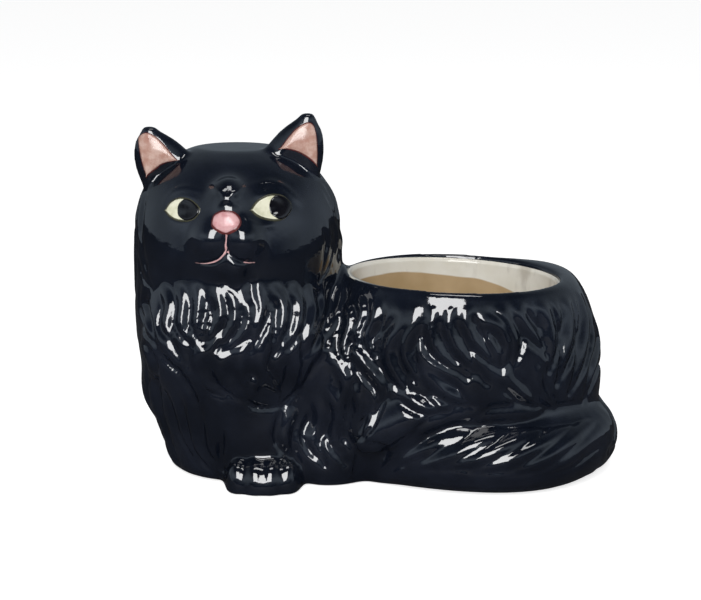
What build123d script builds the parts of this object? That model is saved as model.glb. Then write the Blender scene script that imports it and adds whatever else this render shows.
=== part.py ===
from build123d import *
import os
from math import cos, radians, sin

# A planter in glazed earthenware, in the shape of a long-haired cat lying down with its head up.
# X runs from the cat's chest to its rump, -Y is the side on show and Z is up from the table.
# The origin is on the table, under the middle of the whole planter.
# The castings are thin and hollow, and are luted to each other with slip before the firing.
# Left and right are the cat's own.

# Torso, one casting of a round chest and a long pot
wall = 5.0
chest_x = -79.0
chest_y = 9.0
chest_width = 119.0
chest_depth = 120.0
seam_height = 118.0
pot_x = 43.5
pot_y = 5.0
pot_length = 170.0
pot_depth = 122.0
pot_height = 119.0
waist_x = -16.0
waist_y = 7.0
waist_length = 92.0
waist_depth = 104.0
waist_height = 96.0
rim_height = 112.6
rim_tilt = 2.7
rim_round = 1.8

# Planting well, a cup that hangs from the rim and stands on the base slab
cup_length = 125.0
cup_depth = 102.0
cup_wall = 3.6
cup_floor = 6.0
cup_round = 1.8

# Base slab, set up inside the foot of the torso, with the hole that lets the air out in the kiln
foot_recess = 2.5
slab_thickness = 5.0
vent_radius = 3.0

# Head casting
head_width = 118.0
head_depth = 114.0
head_height = 67.0
crown_round = 7.0
face_turn = 4.0

# Muzzle, two whisker pads and a chin that belong to the head casting
pad_width = 22.0
pad_height = 24.0
pad_depth = 22.0
pad_spread = 8.5
pad_level = 142.0
pad_seat = 51.0
chin_width = 24.0
chin_height = 17.0
chin_depth = 22.0
chin_level = 128.0
chin_seat = 49.0

# Bridge of the nose, also part of the head casting
bridge_width = 18.0
bridge_height = 36.0
bridge_depth = 20.0
bridge_level = 157.0
bridge_seat = 43.5

# Nose, a button of clay over the whisker pads
nose_width = 15.8
nose_height = 12.2
nose_depth = 14.0
nose_level = 153.0
nose_seat = 57.0

# Eyes, fields of pale glaze laid on the face, and their pupils
eye_width = 21.0
eye_height = 13.2
eye_spread = 24.4
eye_shift = -1.4
right_eye_level = 158.2
left_eye_level = 160.4
eye_relief = 1.0
eye_sweep = 2.4
pupil_radius = 5.0
pupil_shift = 3.6

# Ears
ear_width = 42.5
ear_thickness = 19.0
ear_y = -1.0
ear_edge = 3.0
ear_dish = 8.0
lining_thickness = 1.2
ear_root_level = 160.0
right_ear_root_x = -110.0
right_ear_tip_x = -128.0
right_ear_tip_level = 198.5
left_ear_root_x = -56.5
left_ear_tip_x = -39.5
left_ear_tip_level = 206.0

# Tail, a hollow casting that lies on the table round the rump
tail_radius = 20.0
tail_wall = 4.5
tail_reach_x = 119.2
tail_reach_y = 50.6

# Legs and masses of the body, lumps of clay pressed on to the torso
foreleg_width = 44.0
foreleg_depth = 28.0
foreleg_height = 56.0
foreleg_x = -62.0
foreleg_y = -33.0
foreleg_level = 26.0
haunch_width = 40.0
haunch_depth = 26.0
haunch_height = 40.0
haunch_x = -28.0
haunch_y = -33.0
haunch_level = 12.0
elbow_width = 18.0
elbow_depth = 36.0
elbow_height = 30.0
elbow_x = -127.5
elbow_y = -2.0
elbow_level = 48.0
forepaw_width = 43.0
forepaw_depth = 38.0
forepaw_height = 18.5
forepaw_x = -63.5
forepaw_y = -35.0
forepaw_round = 7.0
toe_count = 4
toe_length = 20.0
toe_height = 28.0
toe_seat = 12.0
hindfoot_length = 78.0
hindfoot_height = 26.0
hindfoot_depth = 20.0
hindfoot_x = 22.0
hindfoot_y = -47.5
hindfoot_level = 44.0
hindfoot_rise = 27.0

# Locks of fur, the main ones: tapered ridges that stand in rows on the torso and the head
lock_radius = 7.0
lock_sink = 4.2
lock_sway = 5.0
flank_lean = 12.0
ruff_top = 116.0
ruff_bottom = 68.0
bib_top = 78.0
bib_bottom = 34.0
flank_top = 104.0
flank_bottom = 60.0
rump_bottom = 48.0
mane_top = 168.0
mane_bottom = 124.0

# Levels of each form from the bottom up: length along X and depth along Y, on even heights
chest_shares = (
    (0.705, 0.76),
    (0.80, 0.87),
    (0.905, 0.95),
    (0.96, 0.99),
    (0.99, 1.00),
    (1.00, 0.985),
    (0.985, 0.95),
)
pot_shares = (
    (0.87, 0.75),
    (0.935, 0.87),
    (0.976, 0.94),
    (1.00, 0.985),
    (0.993, 1.00),
    (0.96, 0.99),
    (0.88, 0.945),
    (0.73, 0.85),
)
waist_shares = (
    (1.00, 0.76),
    (1.02, 0.90),
    (0.98, 0.98),
    (0.86, 0.94),
    (0.62, 0.76),
)
cup_shares = (
    (0.72, 0.66),
    (0.88, 0.84),
    (0.95, 0.93),
    (0.985, 0.98),
    (1.00, 1.00),
)
head_shares = (
    (0.993, 1.00),
    (1.00, 0.995),
    (0.995, 0.97),
    (0.96, 0.92),
    (0.885, 0.83),
    (0.745, 0.67),
    (0.48, 0.40),
)
# Levels of an ear from its root to its tip: width and thickness, on even heights
ear_shares = (
    (0.96, 1.00),
    (0.95, 0.92),
    (0.90, 0.80),
    (0.77, 0.64),
    (0.53, 0.45),
    (0.16, 0.22),
)
# Stations of the tail, from the root behind the rump to the tip on the side on show:
# the place along X and Y from the middle of the planter, and the radius
tail_shares = (
    (0.76, 0.78, 0.90),
    (0.89, 0.52, 1.00),
    (0.97, 0.18, 1.07),
    (0.98, -0.22, 1.08),
    (0.89, -0.60, 1.02),
    (0.755, -0.86, 1.00),
    (0.59, -0.96, 1.00),
    (0.41, -0.92, 1.00),
    (0.25, -0.82, 0.93),
    (0.12, -0.71, 0.74),
    (0.04, -0.64, 0.46),
    (0.00, -0.60, 0.16),
)

# A lock from its root to its tip: thickness, and how far it sways aside
lock_shares = (
    (0.35, -0.2),
    (0.80, 0.7),
    (1.00, 1.0),
    (0.95, 0.2),
    (0.70, -0.8),
    (0.30, -1.0),
)
# Turns about Z of the locks, counted from +X, with -90 at the middle of the side on show
ruff_turns = (-42, -72, -102, -132, -162, 160, 122)
bib_turns = (-147, -177)
flank_turns = (-110, -86, -60)
rump_turns = (-18,)
back_turns = (90,)
mane_turns = (30, 84)

half = 0.5
oval_sides = 12


def oval_points(length, depth):
    """Points round an oval, for a closed spline that starts and ends on +X."""
    turns = [radians(360 * i / oval_sides) for i in range(oval_sides)]
    return [(length * half * cos(turn), depth * half * sin(turn)) for turn in turns]


def stacked_form(x, y, base, height, length, depth, shares, inset=0.0):
    """A form lofted through ovals, one on each level. An inset gives the space inside its wall."""
    with BuildPart() as form:
        for level, (long, deep) in enumerate(shares):
            up = level / (len(shares) - 1)
            with BuildSketch(Plane((x, y, base + up * height))):
                with BuildLine():
                    Spline(oval_points(long * length - 2 * inset, deep * depth - 2 * inset), periodic=True)
                make_face()
        loft()
    return form.part


def girth(shares, up):
    """Length and depth of a form as shares, at any height between its levels."""
    place = up * (len(shares) - 1)
    low = min(int(place), len(shares) - 2)
    return [a + (place - low) * (b - a) for a, b in zip(shares[low], shares[low + 1])]


def lock(form, turn, top, bottom, lean=0.0):
    """A lock of fur on a stacked form, lofted through rings from its root down to its tip."""
    x, y, base, height, length, depth, shares = form
    last = len(lock_shares) - 1
    with BuildPart() as ridge:
        for step, (thick, aside) in enumerate(lock_shares):
            level = top + step / last * (bottom - top)
            long, deep = girth(shares, (level - base) / height)
            angle = radians(turn + aside * lock_sway + step / last * lean)
            place = (
                x + (long * length * half - lock_sink) * cos(angle),
                y + (deep * depth * half - lock_sink) * sin(angle),
                level,
            )
            with BuildSketch(Plane(place)):
                Circle(thick * lock_radius)
        loft()
    return ridge.part


def lump(center, length, depth, height, turn=0.0, rise=0.0):
    """A rounded lump of clay, turned about Z and raised about Y."""
    with BuildPart() as clay:
        Sphere(1, rotation=(90, 0, 0))
        scale(by=(length * half, depth * half, height * half))
    return clay.part.moved(Location(center, (0, -rise, turn)))


def on_face(spread, seat, level):
    """A place on the head: out from the middle of the face, forward from the axis, and up."""
    turn = radians(face_turn)
    x = chest_x + spread * cos(turn) - seat * sin(turn)
    y = chest_y - spread * sin(turn) - seat * cos(turn)
    return (x, y, level)


# Outer forms and the space inside them
chest = (chest_x, chest_y, 0, seam_height, chest_width, chest_depth, chest_shares)
pot = (pot_x, pot_y, 0, pot_height, pot_length, pot_depth, pot_shares)
waist = (waist_x, waist_y, 0, waist_height, waist_length, waist_depth, waist_shares)
head = (chest_x, chest_y, seam_height, head_height, head_width, head_depth, head_shares)
chest_space = stacked_form(*chest, wall)
pot_space = stacked_form(*pot, wall)
waist_space = stacked_form(
    waist_x, waist_y, 0, waist_height - wall, waist_length, waist_depth, waist_shares, wall
)
rim_plane = Plane((pot_x, pot_y, rim_height)).rotated((0, rim_tilt, 0))
cup_foot = foot_recess + slab_thickness
cup_height = pot_height - cup_foot
cup_form = stacked_form(
    pot_x, pot_y, cup_foot, cup_height, cup_length, cup_depth, cup_shares
)

# Torso with its fur, open at the foot, at the neck and at the rim
with BuildPart() as torso_body:
    add(stacked_form(*pot))
    split(bisect_by=rim_plane, keep=Keep.BOTTOM)
    fillet(torso_body.edges().sort_by(Axis.Z)[-1], rim_round)
    add(stacked_form(*waist))
    add(stacked_form(*chest))
    add(lump((foreleg_x, foreleg_y, foreleg_level), foreleg_width, foreleg_depth, foreleg_height))
    add(lump((haunch_x, haunch_y, haunch_level), haunch_width, haunch_depth, haunch_height))
    add(lump((elbow_x, elbow_y, elbow_level), elbow_width, elbow_depth, elbow_height))
    split(bisect_by=Plane.XY, keep=Keep.TOP)
with BuildPart() as torso_shell:
    add(torso_body.part)
    add([lock(chest, turn, ruff_top, ruff_bottom) for turn in ruff_turns])
    add([lock(chest, turn, bib_top, bib_bottom) for turn in bib_turns])
    add([lock(pot, turn, flank_top, flank_bottom, flank_lean) for turn in flank_turns])
    add([lock(pot, turn, flank_top, rump_bottom) for turn in rump_turns])
    add([lock(pot, turn, flank_top, flank_bottom, -flank_lean) for turn in back_turns])
    add(chest_space, mode=Mode.SUBTRACT)
    add(waist_space, mode=Mode.SUBTRACT)
    add(pot_space, mode=Mode.SUBTRACT)
    add(cup_form, mode=Mode.SUBTRACT)
torso_shell.part.label = "torso_shell"

# Planting well, cut level with the rim
with BuildPart() as well_cup:
    add(cup_form)
    split(bisect_by=rim_plane, keep=Keep.BOTTOM)
    add(
        stacked_form(
            pot_x, pot_y, cup_foot + cup_floor, cup_height - cup_floor, cup_length, cup_depth,
            cup_shares, cup_wall,
        ),
        mode=Mode.SUBTRACT,
    )
    rim_edges = well_cup.edges().group_by(Axis(rim_plane.origin, rim_plane.z_dir))[-1]
    fillet(rim_edges.sort_by(SortBy.LENGTH)[0], cup_round)
well_cup.part.label = "well_cup"

# Base slab
with BuildPart() as base_slab:
    add(chest_space)
    add(waist_space)
    add(pot_space)
    split(bisect_by=Plane.XY.offset(cup_foot), keep=Keep.BOTTOM)
    split(bisect_by=Plane.XY.offset(foot_recess), keep=Keep.TOP)
    with Locations((chest_x, chest_y, cup_foot)):
        Hole(vent_radius)
base_slab.part.label = "base_slab"

# Head, with the muzzle and the chin
with BuildPart() as head_body:
    add(stacked_form(*head))
    fillet(head_body.edges().group_by(Axis.Z)[-1], crown_round)
    for side in (-1, 1):
        add(lump(on_face(side * pad_spread, pad_seat, pad_level), pad_width, pad_depth, pad_height))
    add(lump(on_face(0, chin_seat, chin_level), chin_width, chin_depth, chin_height))
    add(lump(on_face(0, bridge_seat, bridge_level), bridge_width, bridge_depth, bridge_height))
    add([lock(head, turn, mane_top, mane_bottom) for turn in mane_turns])
with BuildPart() as head_shell:
    add(head_body.part)
    add(
        stacked_form(
            chest_x, chest_y, seam_height, head_height - wall, head_width, head_depth, head_shares, wall
        ),
        mode=Mode.SUBTRACT,
    )
head_shell.part.label = "head_shell"


# Nose
with BuildPart() as nose:
    add(lump(on_face(0, nose_seat, nose_level), nose_width, nose_depth, nose_height))
    add(head_body.part, mode=Mode.SUBTRACT)
nose.part.label = "nose"

# Ears, cones with a dished front that is lined with pink glaze
def ear_cone(root_x, tip_x, tip_level, inset=0.0, forward=0.0):
    """An ear lofted from its root in the head to its tip. An inset gives the space of its dish."""
    with BuildPart() as cone:
        for level, (wide, thick) in enumerate(ear_shares):
            up = level / (len(ear_shares) - 1)
            x = root_x + up * (tip_x - root_x)
            z = ear_root_level + up * (tip_level - ear_root_level - inset)
            grow = 1 - 2 * inset / ear_width
            with BuildSketch(Plane((x, ear_y - forward, z))):
                with BuildLine():
                    Spline(oval_points(wide * ear_width * grow, thick * ear_thickness * grow), periodic=True)
                make_face()
        loft()
    return cone.part


ears = []
linings = []
for name, root_x, tip_x, tip_level in (
    ("right_ear", right_ear_root_x, right_ear_tip_x, right_ear_tip_level),
    ("left_ear", left_ear_root_x, left_ear_tip_x, left_ear_tip_level),
):
    dish = ear_cone(root_x, tip_x, tip_level, ear_edge, ear_dish)
    with BuildPart() as ear:
        add(ear_cone(root_x, tip_x, tip_level))
        add(dish, mode=Mode.SUBTRACT)
        add(head_body.part, mode=Mode.SUBTRACT)
    ear.part.label = name
    with BuildPart() as lining:
        add(dish)
        add(ear_cone(root_x, tip_x, tip_level), mode=Mode.INTERSECT)
        add(ear_cone(root_x, tip_x, tip_level, ear_edge, ear_dish + lining_thickness), mode=Mode.SUBTRACT)
        add(head_body.part, mode=Mode.SUBTRACT)
    lining.part.label = name + "_lining"
    ears.append(ear)
    linings.append(lining)

# Eyes, almonds of pale glaze, each with a round pupil of dark glaze let into it
face_plane = Plane(
    on_face(0, 0, 0),
    x_dir=Vector(*on_face(1, 0, 0)) - Vector(*on_face(0, 0, 0)),
    z_dir=Vector(*on_face(0, 1, 0)) - Vector(*on_face(0, 0, 0)),
)
eye_skin = stacked_form(*head, -eye_relief)
eyes = []
for name, side, level in (("right_eye", -1, right_eye_level), ("left_eye", 1, left_eye_level)):
    middle = side * eye_spread + eye_shift
    with BuildPart() as almond:
        with BuildSketch(face_plane):
            with BuildLine():
                inner, outer = (
                    (middle + end * eye_width * half, level + end * eye_sweep * half)
                    for end in (-1, 1)
                )
                ThreePointArc(inner, (middle, level + eye_height * half), outer)
                ThreePointArc(outer, (middle, level - eye_height * half), inner)
            make_face()
        extrude(amount=head_depth)
    with BuildPart() as disc:
        with BuildSketch(face_plane):
            with Locations((middle + pupil_shift, level)):
                Circle(pupil_radius)
        extrude(amount=head_depth)
    with BuildPart() as eye:
        add(eye_skin)
        add(almond.part, mode=Mode.INTERSECT)
        add(head_body.part, mode=Mode.SUBTRACT)
        add(disc.part, mode=Mode.SUBTRACT)
    eye.part.label = name
    with BuildPart() as pupil:
        add(eye_skin)
        add(almond.part, mode=Mode.INTERSECT)
        add(disc.part, mode=Mode.INTERSECT)
        add(head_body.part, mode=Mode.SUBTRACT)
    pupil.part.label = name.replace("eye", "pupil")
    eyes += [eye, pupil]


def tail_form(inset=0.0):
    """The tail, lofted through rings along its way. An inset gives the space inside its wall."""
    last = len(tail_shares) - 1
    places = [
        Vector(along * tail_reach_x, across * tail_reach_y, thick * tail_radius)
        for along, across, thick in tail_shares
    ]
    with BuildPart() as form:
        for i, (along, across, thick) in enumerate(tail_shares):
            radius = thick * tail_radius - inset
            if radius > 0:
                way = places[min(i + 1, last)] - places[max(i - 1, 0)]
                ring = Plane(places[i], x_dir=(0, 0, 1), z_dir=(way.X, way.Y, 0))
                with BuildSketch(ring):
                    Circle(radius)
        loft()
    return form.part


with BuildPart() as tail:
    add(tail_form())
    add(tail_form(tail_wall), mode=Mode.SUBTRACT)
    add(torso_body.part, mode=Mode.SUBTRACT)
tail.part.label = "tail"

# Forepaw, a pad with a row of toes
with BuildPart() as forepaw:
    with BuildSketch(Plane((forepaw_x, forepaw_y, 0))):
        Ellipse(forepaw_width * half, forepaw_depth * half)
    extrude(amount=forepaw_height)
    fillet(forepaw.edges().group_by(Axis.Z)[-1], forepaw_round)
    toe_width = forepaw_width / toe_count
    for toe in range(toe_count):
        spread = (toe - (toe_count - 1) * half) * toe_width
        reach = toe_seat * cos(spread / (forepaw_width * half))
        add(
            lump(
                (forepaw_x + spread, forepaw_y - reach, 0),
                toe_width, toe_length, toe_height,
            )
        )
    split(bisect_by=Plane.XY, keep=Keep.TOP)
    add(torso_body.part, mode=Mode.SUBTRACT)
forepaw.part.label = "left_forepaw"

# Hind foot, laid along the haunch over the tip of the tail
with BuildPart() as hindfoot:
    add(
        lump(
            (hindfoot_x, hindfoot_y, hindfoot_level),
            hindfoot_length, hindfoot_depth, hindfoot_height, 0, hindfoot_rise,
        )
    )
    add(torso_body.part, mode=Mode.SUBTRACT)
    add(tail_form(), mode=Mode.SUBTRACT)
hindfoot.part.label = "left_hindfoot"

os.makedirs("parts", exist_ok=True)
for piece in (torso_shell, well_cup, base_slab, head_shell, nose, tail, forepaw, hindfoot, *ears, *linings, *eyes):
    export_step(piece.part, f"parts/{piece.part.label}.step")
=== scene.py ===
import math
import bpy
import numpy as np
from mathutils import Euler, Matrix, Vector


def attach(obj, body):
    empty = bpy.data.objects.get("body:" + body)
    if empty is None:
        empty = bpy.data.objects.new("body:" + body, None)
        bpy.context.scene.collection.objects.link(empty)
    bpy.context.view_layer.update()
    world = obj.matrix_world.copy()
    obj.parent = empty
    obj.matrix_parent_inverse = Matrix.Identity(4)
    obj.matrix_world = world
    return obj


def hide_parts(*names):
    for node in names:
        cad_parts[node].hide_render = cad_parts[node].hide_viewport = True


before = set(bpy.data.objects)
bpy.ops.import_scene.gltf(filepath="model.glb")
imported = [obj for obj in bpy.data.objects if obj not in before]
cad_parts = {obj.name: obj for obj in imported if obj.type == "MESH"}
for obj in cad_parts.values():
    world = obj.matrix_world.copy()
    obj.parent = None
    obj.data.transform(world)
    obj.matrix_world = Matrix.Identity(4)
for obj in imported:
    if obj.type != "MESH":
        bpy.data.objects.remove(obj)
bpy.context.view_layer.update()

# A glazed earthenware planter in the shape of a long-haired cat lying down.
# The cat is modelled as a potter would: rounded forms are pressed together in a block of clay,
# the skin of that block is combed into locks of fur, and the colours are laid on the glaze.
# Lengths are in millimetres until a mesh is made, where MM turns them into metres.
# Left and right are the cat's own.

MM = 0.001
GRAIN = 0.95
CLAY_LOW = (-148, -80, -6)
CLAY_HIGH = (148, 80, 214)
CLAY_MARGIN = 6.0
FAR = 999.0
rng = np.random.default_rng(11)

# The camera of the photograph, and its frame in pixels
PHOTO_WIDTH = 701
PHOTO_HEIGHT = 600
LENS = 110.0
SENSOR = 36.0
PITCH = 13.5
DISTANCE = 1230.0
TARGET = np.array([-15.5, 9.0, 96.0])

# Main sizes, the same as the casting's
CHEST_X = -79.0
CHEST_Y = 9.0
CHEST_SIZE = (119.0, 120.0)
SEAM = 118.0
HEAD_HEIGHT = 67.0
HEAD_SIZE = (118.0, 114.0)
HEAD_REACH = 64.0
POT_X = 43.5
POT_Y = 5.0
POT_HEIGHT = 119.0
POT_SIZE = (170.0, 122.0)
WAIST_X = -16.0
WAIST_Y = 7.0
WAIST_HEIGHT = 96.0
WAIST_SIZE = (92.0, 104.0)
FOOT_WALL = 5.0
FOOT_SPACE = 7.5
RIM_HEIGHT = 112.6
RIM_TILT = 2.7
LIP_HEIGHT = 1.4
CUP_LENGTH = 125.0
CUP_DEPTH = 102.0
CUP_WALL = 3.6
CUP_FLOOR = 13.5
CUP_FLOOR_WALL = 3.0
CUP_BACK = 0.6
CUP_DROP = 1.6
CUP_TOP_SHARE = 0.985
HOLE_FLOOR = 9.0
HOLE_HEIGHT = 110.0
HOLE_GAP = 1.4
FACE_TURN = 4.0
EAR_WIDTH = 41.5
EAR_THICKNESS = 19.0
EAR_Y = -1.0
EAR_EDGE = 3.4
EAR_DISH = 11.0
EAR_ROOT = 160.0
EAR_TIP = (10.0, 7.0, 10.0)
EAR_TIP_CUT = 0.8
EAR_TIP_DROP = 5.6
TAIL_RADIUS = 19.5
TAIL_X = 118.2
TAIL_Y = 50.6
PAW_X = -64.0
TOE_Y = -50.5
TOE_HEIGHT = 4.0
TOE_SIZE = (13.0, 18.0, 27.0)

# Half length and half depth of each form on even heights, as shares of its half sizes
CHEST_SHARES = (
    (0.70, 0.76), (0.785, 0.87), (0.885, 0.95), (0.945, 0.99), (0.99, 1.0), (1.0, 0.985), (0.985, 0.95),
)
POT_SHARES = (
    (0.87, 0.75), (0.935, 0.87), (0.976, 0.94), (1.0, 0.985),
    (0.993, 1.0), (0.95, 0.985), (0.855, 0.93), (0.69, 0.82),
)
WAIST_SHARES = ((1.0, 0.76), (1.02, 0.90), (0.98, 0.98), (0.86, 0.94), (0.62, 0.76))
CUP_SHARES = ((0.72, 0.66), (0.88, 0.84), (0.95, 0.93), (0.985, 0.98), (1.0, 1.0))
HEAD_SHARES = (
    (0.993, 1.0), (1.0, 0.995), (0.995, 0.97), (0.96, 0.92), (0.885, 0.83), (0.745, 0.67), (0.48, 0.40),
)
EAR_SHARES = ((0.96, 1.0), (0.95, 0.92), (0.90, 0.80), (0.77, 0.64), (0.54, 0.46), (0.16, 0.24))
TAIL_SHARES = (
    (0.76, 0.78, 0.90), (0.89, 0.52, 1.00), (0.97, 0.18, 1.07), (0.98, -0.22, 1.08),
    (0.89, -0.60, 1.02), (0.755, -0.86, 1.0), (0.59, -0.96, 1.0), (0.41, -0.92, 1.0),
    (0.25, -0.82, 0.93), (0.12, -0.71, 0.74), (0.04, -0.64, 0.46), (0.00, -0.60, 0.16),
)

# Locks of fur as the photograph shows them: width in millimetres, then pixels from root to tip
HALF_WIDTH_SHARE = 0.66
CHEST_LOCKS = (
    (9, (146, 284), (142, 305), (146, 327), (156, 345)),
    (9, (160, 284), (168, 303), (164, 325), (174, 344)),
    (8, (178, 284), (182, 303), (180, 325), (190, 346)),
    (8, (196, 283), (198, 304), (196, 325), (202, 346)),
    (9, (212, 283), (219, 302), (219, 320), (204, 347)),
    (8, (226, 283), (234, 303), (233, 325), (216, 350)),
    (9, (240, 283), (249, 310), (245, 332), (220, 356)),
    (8, (256, 282), (262, 305), (258, 325), (251, 352)),
    (9, (272, 283), (284, 303), (283, 325), (271, 364)),
    (9, (290, 284), (301, 302), (299, 324), (288, 350)),
    (9, (308, 285), (315, 306), (311, 330), (300, 362)),
    (8, (325, 284), (324, 305), (315, 334), (302, 368)),
    (8, (338, 268), (341, 292), (334, 318), (322, 352)),
    (10, (140, 333), (148, 358), (150, 385), (150, 408)),
    (10, (158, 335), (168, 352), (182, 366), (199, 368)),
    (10, (170, 346), (188, 372), (198, 392), (200, 416)),
    (10, (208, 345), (196, 362), (204, 384), (224, 398)),
    (10, (224, 350), (220, 372), (230, 388), (245, 402)),
    (9, (243, 345), (240, 368), (246, 384), (262, 396)),
    (9, (262, 345), (262, 368), (272, 386), (288, 397)),
    (9, (256, 378), (251, 391), (260, 402), (286, 405)),
    (10, (300, 352), (297, 372), (292, 390), (281, 404)),
    (9, (328, 344), (312, 358), (304, 376), (300, 396)),
    (11, (148, 395), (158, 415), (166, 438), (178, 462)),
    (11, (166, 385), (178, 410), (184, 436), (196, 464)),
    (11, (188, 400), (192, 425), (198, 450), (214, 474)),
    (11, (208, 402), (210, 425), (212, 450), (222, 470)),
    (10, (296, 402), (288, 422), (286, 442), (298, 464)),
    (10, (312, 392), (320, 416), (312, 440), (326, 466)),
    (9, (326, 385), (338, 410), (334, 436), (346, 466)),
)
FLANK_LOCKS = (
    (8, (352, 292), (362, 310), (356, 332), (362, 356)),
    (9, (375, 298), (374, 318), (366, 338), (376, 364)),
    (11, (396, 300), (403, 322), (389, 343), (390, 364), (402, 386), (416, 398)),
    (9, (414, 303), (411, 328), (404, 350), (412, 372), (428, 394)),
    (9, (435, 304), (431, 328), (438, 352), (468, 378)),
    (9, (452, 304), (449, 328), (460, 352), (488, 384)),
    (9, (468, 304), (466, 322), (478, 345), (500, 370)),
    (9, (478, 318), (498, 326), (508, 345), (502, 374)),
    (9, (497, 304), (508, 322), (516, 344), (513, 368)),
    (9, (516, 300), (522, 318), (534, 334), (546, 354)),
    (10, (536, 298), (548, 316), (554, 342), (550, 372)),
    (11, (558, 290), (571, 314), (570, 346), (558, 384)),
    (11, (574, 286), (587, 318), (584, 356), (570, 394)),
    (10, (588, 308), (599, 338), (594, 372), (584, 402)),
    (9, (424, 374), (440, 388), (455, 398), (472, 407)),
    (9, (400, 388), (412, 400), (426, 408), (442, 412)),
    (9, (498, 368), (512, 384), (528, 398), (542, 408)),
    (9, (538, 364), (538, 384), (546, 400), (560, 409)),
    (8, (346, 300), (349, 322), (343, 348), (352, 376)),
    (8, (352, 344), (364, 364), (381, 388), (376, 412)),
    (9, (334, 358), (346, 384), (339, 410), (346, 440)),
    (9, (352, 384), (361, 408), (353, 434), (362, 456)),
    (8, (378, 394), (372, 410), (366, 426), (360, 442)),
)
TAIL_LOCKS = (
    (11, (600, 406), (572, 414), (540, 420), (508, 424)),
    (11, (560, 416), (520, 416), (485, 418), (450, 424)),
    (11, (500, 416), (462, 418), (430, 428), (404, 444)),
    (11, (612, 424), (592, 440), (566, 462), (536, 478)),
    (11, (596, 420), (570, 442), (542, 462), (508, 476)),
    (11, (572, 424), (540, 444), (508, 462), (470, 474)),
    (11, (540, 426), (508, 444), (476, 460), (436, 470)),
    (11, (508, 426), (476, 442), (446, 458), (408, 472)),
    (10, (470, 424), (442, 438), (416, 452), (384, 474)),
    (9, (434, 430), (412, 442), (394, 456), (376, 476)),
)
CHEEK_LOCKS = (
    (8, (318, 174), (330, 196), (336, 214), (338, 232)),
    (8, (330, 206), (337, 226), (338, 248), (333, 268)),
    (8, (322, 214), (330, 236), (328, 258), (320, 280)),
    (8, (340, 222), (342, 244), (340, 262), (336, 282)),
    (8, (140, 196), (136, 218), (139, 240), (146, 262)),
    (8, (137, 236), (140, 256), (144, 272), (152, 288)),
)

# Outlines of the painted fields in the photograph, in pixels. A corner given twice stays sharp.
RIGHT_EAR_FIELD = (
    (138.8, 141), (139.8, 136.5), (145.8, 133.2), (153.7, 136.2), (162.3, 144), (170.6, 154), (176.4, 160.2),
    (176.4, 160.2), (163.7, 162.6), (155.1, 168.2), (146.6, 175), (146.6, 175), (141.8, 159.5),
)
LEFT_EAR_FIELD = (
    (281.2, 148), (281.2, 148), (294.5, 131.4), (305.8, 123.6), (312.4, 125), (315.6, 134), (317, 152.4),
    (316.4, 164.2), (316.4, 164.2), (310, 158), (300, 151.8), (290, 148.8),
)
RIGHT_EAR_RIM = (
    (138.2, 141), (139.2, 136), (145.8, 132.4), (154, 135.4), (163, 143.2), (171.4, 153.4), (178, 160.4),
    (178, 160.4), (164, 163.6), (155.6, 169.4), (146.4, 176.6), (146.4, 176.6), (141, 160),
)
LEFT_EAR_RIM = (
    (279.6, 148.4), (279.6, 148.4), (294, 130.4), (305.8, 122.6), (313, 124.2), (316.4, 134), (317.8, 152.4),
    (317, 166), (317, 166), (309.6, 159.4), (299.6, 153), (289.6, 149.8),
)
RIGHT_EYE = (
    (166, 210.5), (166, 210.5), (170.5, 203.6), (176.5, 199.8), (183, 199), (191, 202), (197, 209.5),
    (193, 217), (187, 220), (178, 219.4), (171, 216),
)
RIGHT_EYE_RIM = (
    (164.2, 210.6), (164.2, 210.6), (169.6, 202.4), (176.2, 198.2), (184, 197.4), (192.6, 200.4),
    (200.5, 209.5), (195, 218.6), (187, 221.8), (177.6, 221), (169.8, 217.2),
)
LEFT_EYE = (
    (252, 210), (252, 210), (257.5, 202.4), (266, 197.2), (274, 195.8), (282, 198), (287.5, 206),
    (285, 214), (278, 219), (267, 218.2), (258, 215),
)
LEFT_EYE_RIM = (
    (250, 210.2), (250, 210.2), (256.4, 201), (265.4, 195.4), (274.6, 193.8), (284.6, 196.4), (292, 206),
    (287.6, 216), (278.6, 221), (266.4, 220.2), (256.8, 216.6),
)
RIGHT_PUPIL = (
    (177.8, 210.5), (178.8, 205), (182.4, 200.6), (187, 199), (194, 202.6), (199.4, 210.2), (195, 217.6),
    (188, 220.6), (182.4, 219.4), (178.8, 216),
)
LEFT_PUPIL = (
    (268.4, 207.4), (269.8, 201.4), (273, 197), (278, 195.4), (286, 199), (291, 206.8), (288, 215),
    (281.6, 219.2), (275, 217.6), (270, 213.4),
)
NOSE_SHAPE = (
    (212.6, 222), (215, 215.8), (221, 212.2), (227, 211.7), (234, 213.5), (239.2, 219.2), (239.4, 224.6),
    (234, 229.8), (226, 233), (218, 230), (213.2, 226),
)
NOSE_RIM = (
    (211.2, 222), (214, 214.6), (220.6, 210.8), (227.2, 210.2), (235, 212.2), (240.8, 218.6), (240.8, 225.4),
    (235, 231.6), (226, 235), (217, 231.6), (211.8, 227),
)
# Brush lines: width in millimetres, pixels, and the shares of the length over which the two ends taper
MOUTH = (
    (1.5, ((226, 232.5), (226.6, 238), (225.8, 244), (226.3, 250.5)), (0.1, 0.1)),
    (1.7, ((226.2, 249.5), (224, 254.2), (216.8, 260.7), (205.4, 263.6), (195.5, 262.6)), (0.1, 0.75)),
    (1.7, ((226.2, 249.5), (231.2, 255), (238.4, 260.7), (248.4, 262.8), (255, 262.2)), (0.1, 0.75)),
)


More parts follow.
